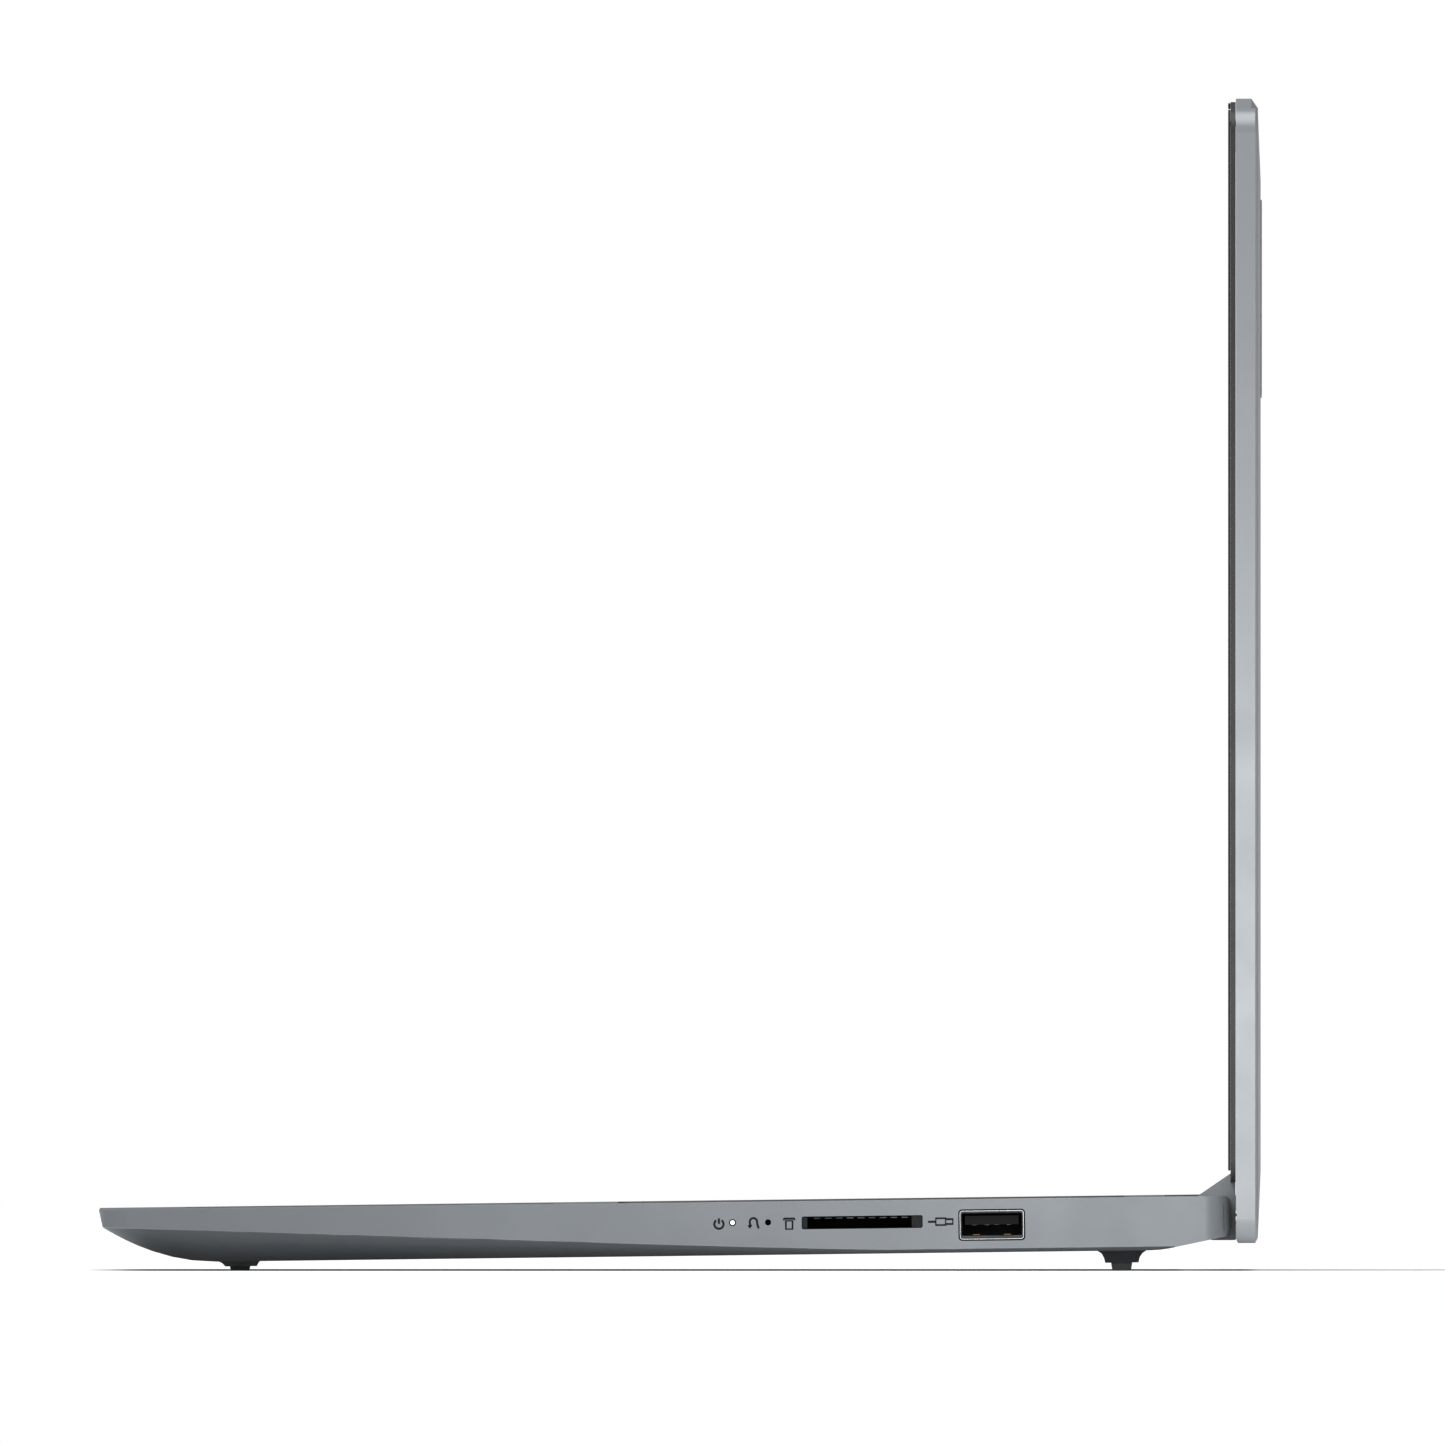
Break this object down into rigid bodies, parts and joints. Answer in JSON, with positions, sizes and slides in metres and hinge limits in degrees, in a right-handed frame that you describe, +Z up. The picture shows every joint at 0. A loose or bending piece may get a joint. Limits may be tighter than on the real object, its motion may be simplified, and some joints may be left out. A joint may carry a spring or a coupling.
{
  "type": "notebook computer",
  "caption": "Slim grey notebook computer, lid upright: keyed deck, touchpad, side ports, black-framed screen, lay-flat hinge, and the boards, cells and fan inside.",
  "frame": {"origin": "on the desk, below the middle of the object's bounding box with the lid upright", "axes": "+X to the right of a person who types, +Y to the rear, +Z up"},
  "size_m": [0.3592, 0.239, 0.2408],
  "materials": {
    "case_metal": "fine satin grey",
    "lid_metal": "fine satin grey",
    "cover_metal": "fine satin dark grey",
    "bezel_plastic": "fine grain black",
    "gasket_rubber": "soft black",
    "screen_panel": "anti-glare black",
    "key_plastic": "soft touch dark grey",
    "touchpad_glass": "smooth satin grey",
    "foot_rubber": "matt black",
    "port_steel": "nickel plated",
    "hinge_steel": "turned steel",
    "screw_steel": "blackened",
    "plate_steel": "stamped",
    "board_laminate": "solder resist",
    "chip_black": "moulded",
    "copper": "bare copper",
    "fan_plastic": "moulded",
    "battery_wrap": "film",
    "jack_plastic": "moulded",
    "light_pipe": "clear, lit white",
    "badge_metal": "iridescent",
    "cable_black": "flexible",
    "antenna_gold": "thin foil"
  },
  "bodies": {
    "base": {"upper_case": "case_metal", "bottom_cover": "cover_metal", "keyboard_plate": "plate_steel", "system_board": "board_laminate", "processor": "chip_black", "heat_spreader": "copper", "heat_pipe": "copper", "heat_sink_fins": "copper", "fan_housing": "fan_plastic", "battery_pack": "battery_wrap", "solid_state_drive": "board_laminate", "memory_module": "board_laminate", "wireless_card": "plate_steel", "io_board": "board_laminate", "io_cable": "cable_black", "card_reader": "port_steel", "usb_a_port_right": "port_steel", "status_light": "light_pipe", "usb_a_port_left": "port_steel", "hdmi_port": "port_steel", "usb_c_port": "port_steel", "audio_jack": "jack_plastic", "power_jack": "jack_plastic", "speakers": "jack_plastic", "hinge_base_brackets": "hinge_steel", "hinge_shafts": "hinge_steel", "hinge_nuts": "hinge_steel", "hinge_screws": "screw_steel", "front_feet": "foot_rubber", "rear_foot": "foot_rubber", "bottom_screws": "screw_steel", "board_screws": "screw_steel", "touchpad_bracket": "plate_steel", "display_cable_base": "cable_black"},
    "fan": {"fan_rotor": "fan_plastic"},
    "touchpad": {"touchpad": "touchpad_glass"},
    "power_button": {"power_button": "key_plastic"},
    "reset_button": {"reset_button": "jack_plastic"},
    "function_keys": {"function_keys": "key_plastic"},
    "number_row_keys": {"number_row_keys": "key_plastic"},
    "upper_row_keys": {"upper_row_keys": "key_plastic"},
    "home_row_keys": {"home_row_keys": "key_plastic"},
    "lower_row_keys": {"lower_row_keys": "key_plastic"},
    "bottom_row_keys": {"bottom_row_keys": "key_plastic"},
    "space_bar": {"space_bar": "key_plastic"},
    "arrow_keys": {"arrow_keys": "key_plastic"},
    "numeric_pad_keys": {"numeric_pad_keys": "key_plastic"},
    "camera_shutter": {"camera_shutter": "bezel_plastic"},
    "lid": {"lid_shell": "lid_metal", "display_bezel": "bezel_plastic", "screen_gasket": "gasket_rubber", "display_panel": "screen_panel", "hinge_cover": "lid_metal", "hinge_lid_brackets": "hinge_steel", "lid_screws": "screw_steel", "camera_module": "jack_plastic", "lid_badge": "badge_metal", "display_cable_lid": "cable_black", "antennas": "antenna_gold"}
  },
  "joints": [
    {"name": "lid_hinge", "type": "hinge", "parent": "base", "child": "lid", "pos_m": [0, 0.10829, 0.0112], "axis": [-1, 0, 0], "range_deg": [-90.7, 89.3]},
    {"name": "fan_spin", "type": "hinge", "parent": "base", "child": "fan", "pos_m": [0.07, 0.04253, 0.00756], "axis": [0, -0.0122, 0.9999], "continuous": true},
    {"name": "touchpad_click", "type": "hinge", "parent": "base", "child": "touchpad", "pos_m": [-0.025, -0.02812, 0.01159], "axis": [1, 0, 0], "range_deg": [0, 0.4]},
    {"name": "power_press", "type": "slide", "parent": "base", "child": "power_button", "axis": [0, 0.0122, -0.9999], "range_m": [0, 0.0006]},
    {"name": "reset_press", "type": "slide", "parent": "base", "child": "reset_button", "axis": [-1, 0, 0], "range_m": [0, 0.0003]},
    {"name": "shutter_slide", "type": "slide", "parent": "lid", "child": "camera_shutter", "axis": [1, 0, 0], "range_m": [0, 0.007]},
    {"name": "function_keys_press", "type": "slide", "parent": "base", "child": "function_keys", "axis": [0, 0.0122, -0.9999], "range_m": [0, 0.0012]},
    {"name": "number_row_keys_press", "type": "slide", "parent": "base", "child": "number_row_keys", "axis": [0, 0.0122, -0.9999], "range_m": [0, 0.0012]},
    {"name": "upper_row_keys_press", "type": "slide", "parent": "base", "child": "upper_row_keys", "axis": [0, 0.0122, -0.9999], "range_m": [0, 0.0012]},
    {"name": "home_row_keys_press", "type": "slide", "parent": "base", "child": "home_row_keys", "axis": [0, 0.0122, -0.9999], "range_m": [0, 0.0012]},
    {"name": "lower_row_keys_press", "type": "slide", "parent": "base", "child": "lower_row_keys", "axis": [0, 0.0122, -0.9999], "range_m": [0, 0.0012]},
    {"name": "bottom_row_keys_press", "type": "slide", "parent": "base", "child": "bottom_row_keys", "axis": [0, 0.0122, -0.9999], "range_m": [0, 0.0012]},
    {"name": "space_bar_press", "type": "slide", "parent": "base", "child": "space_bar", "axis": [0, 0.0122, -0.9999], "range_m": [0, 0.0012]},
    {"name": "arrow_keys_press", "type": "slide", "parent": "base", "child": "arrow_keys", "axis": [0, 0.0122, -0.9999], "range_m": [0, 0.0012]},
    {"name": "numeric_pad_keys_press", "type": "slide", "parent": "base", "child": "numeric_pad_keys", "axis": [0, 0.0122, -0.9999], "range_m": [0, 0.0012]}
  ]
}
